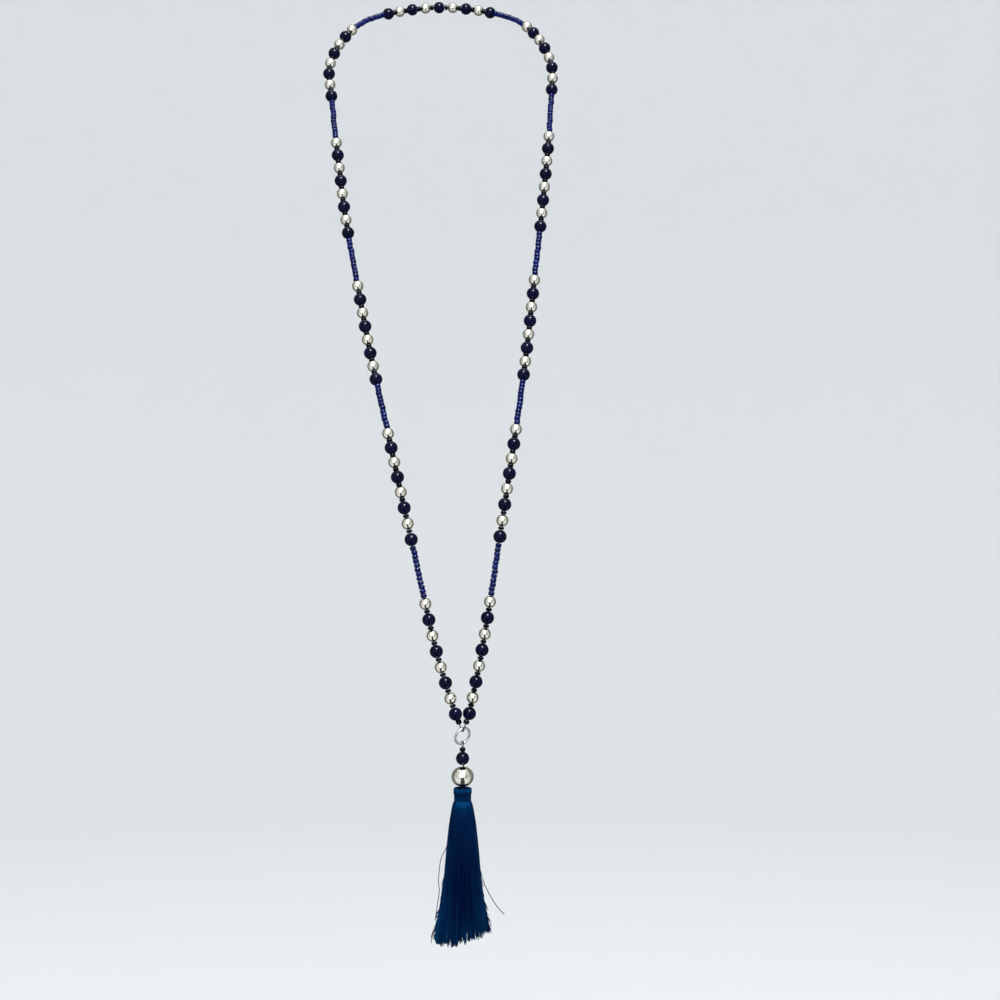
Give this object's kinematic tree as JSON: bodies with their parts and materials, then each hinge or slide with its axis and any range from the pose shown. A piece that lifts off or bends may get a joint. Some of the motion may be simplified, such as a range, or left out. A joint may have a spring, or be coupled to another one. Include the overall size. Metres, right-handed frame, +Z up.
{
  "type": "tassel necklace",
  "caption": "Long slip-on beaded necklace, navy and silver round beads parted by cobalt seed bead runs, with a jump ring, drop beads and silk tassel.",
  "frame": {"origin": "centre of the middle bead at the back of the neck, where the necklace hangs", "axes": "+Z up, +X to the viewer's right as it is worn and seen from the front, the front faces -Y"},
  "size_m": [0.1374, 0.1829, 0.5405],
  "materials": {
    "thread": "waxed beading thread",
    "silver_plate": "polished silver plate",
    "navy_glass": "opaque pressed glass, fire polished",
    "dark_seed_glass": "opaque seed bead glass",
    "cobalt_seed_glass": "translucent cobalt seed bead glass",
    "ring_wire": "polished plated wire",
    "silk": "glossy rayon silk floss"
  },
  "bodies": {
    "strand": {"thread": "thread", "silver_beads": "silver_plate", "navy_beads": "navy_glass", "spacer_seeds": "dark_seed_glass", "seed_runs": "cobalt_seed_glass"},
    "ring": {"jump_ring": "ring_wire"},
    "drop": {"drop_thread": "thread", "drop_seed": "dark_seed_glass", "drop_bead": "navy_glass", "pendant_bead": "silver_plate", "tassel": "silk", "tassel_binding": "silk"}
  },
  "joints": [
    {"name": "ring_swing", "type": "hinge", "parent": "strand", "child": "ring", "pos_m": [0.01807, -0.16851, -0.42372], "axis": [0.5878, -0.809, 0], "range_deg": [-20, 20]},
    {"name": "drop_swing", "type": "hinge", "parent": "ring", "child": "drop", "pos_m": [0.01807, -0.1649, -0.43185], "axis": [0.809, 0.5878, 0], "range_deg": [-60, 60]}
  ]
}
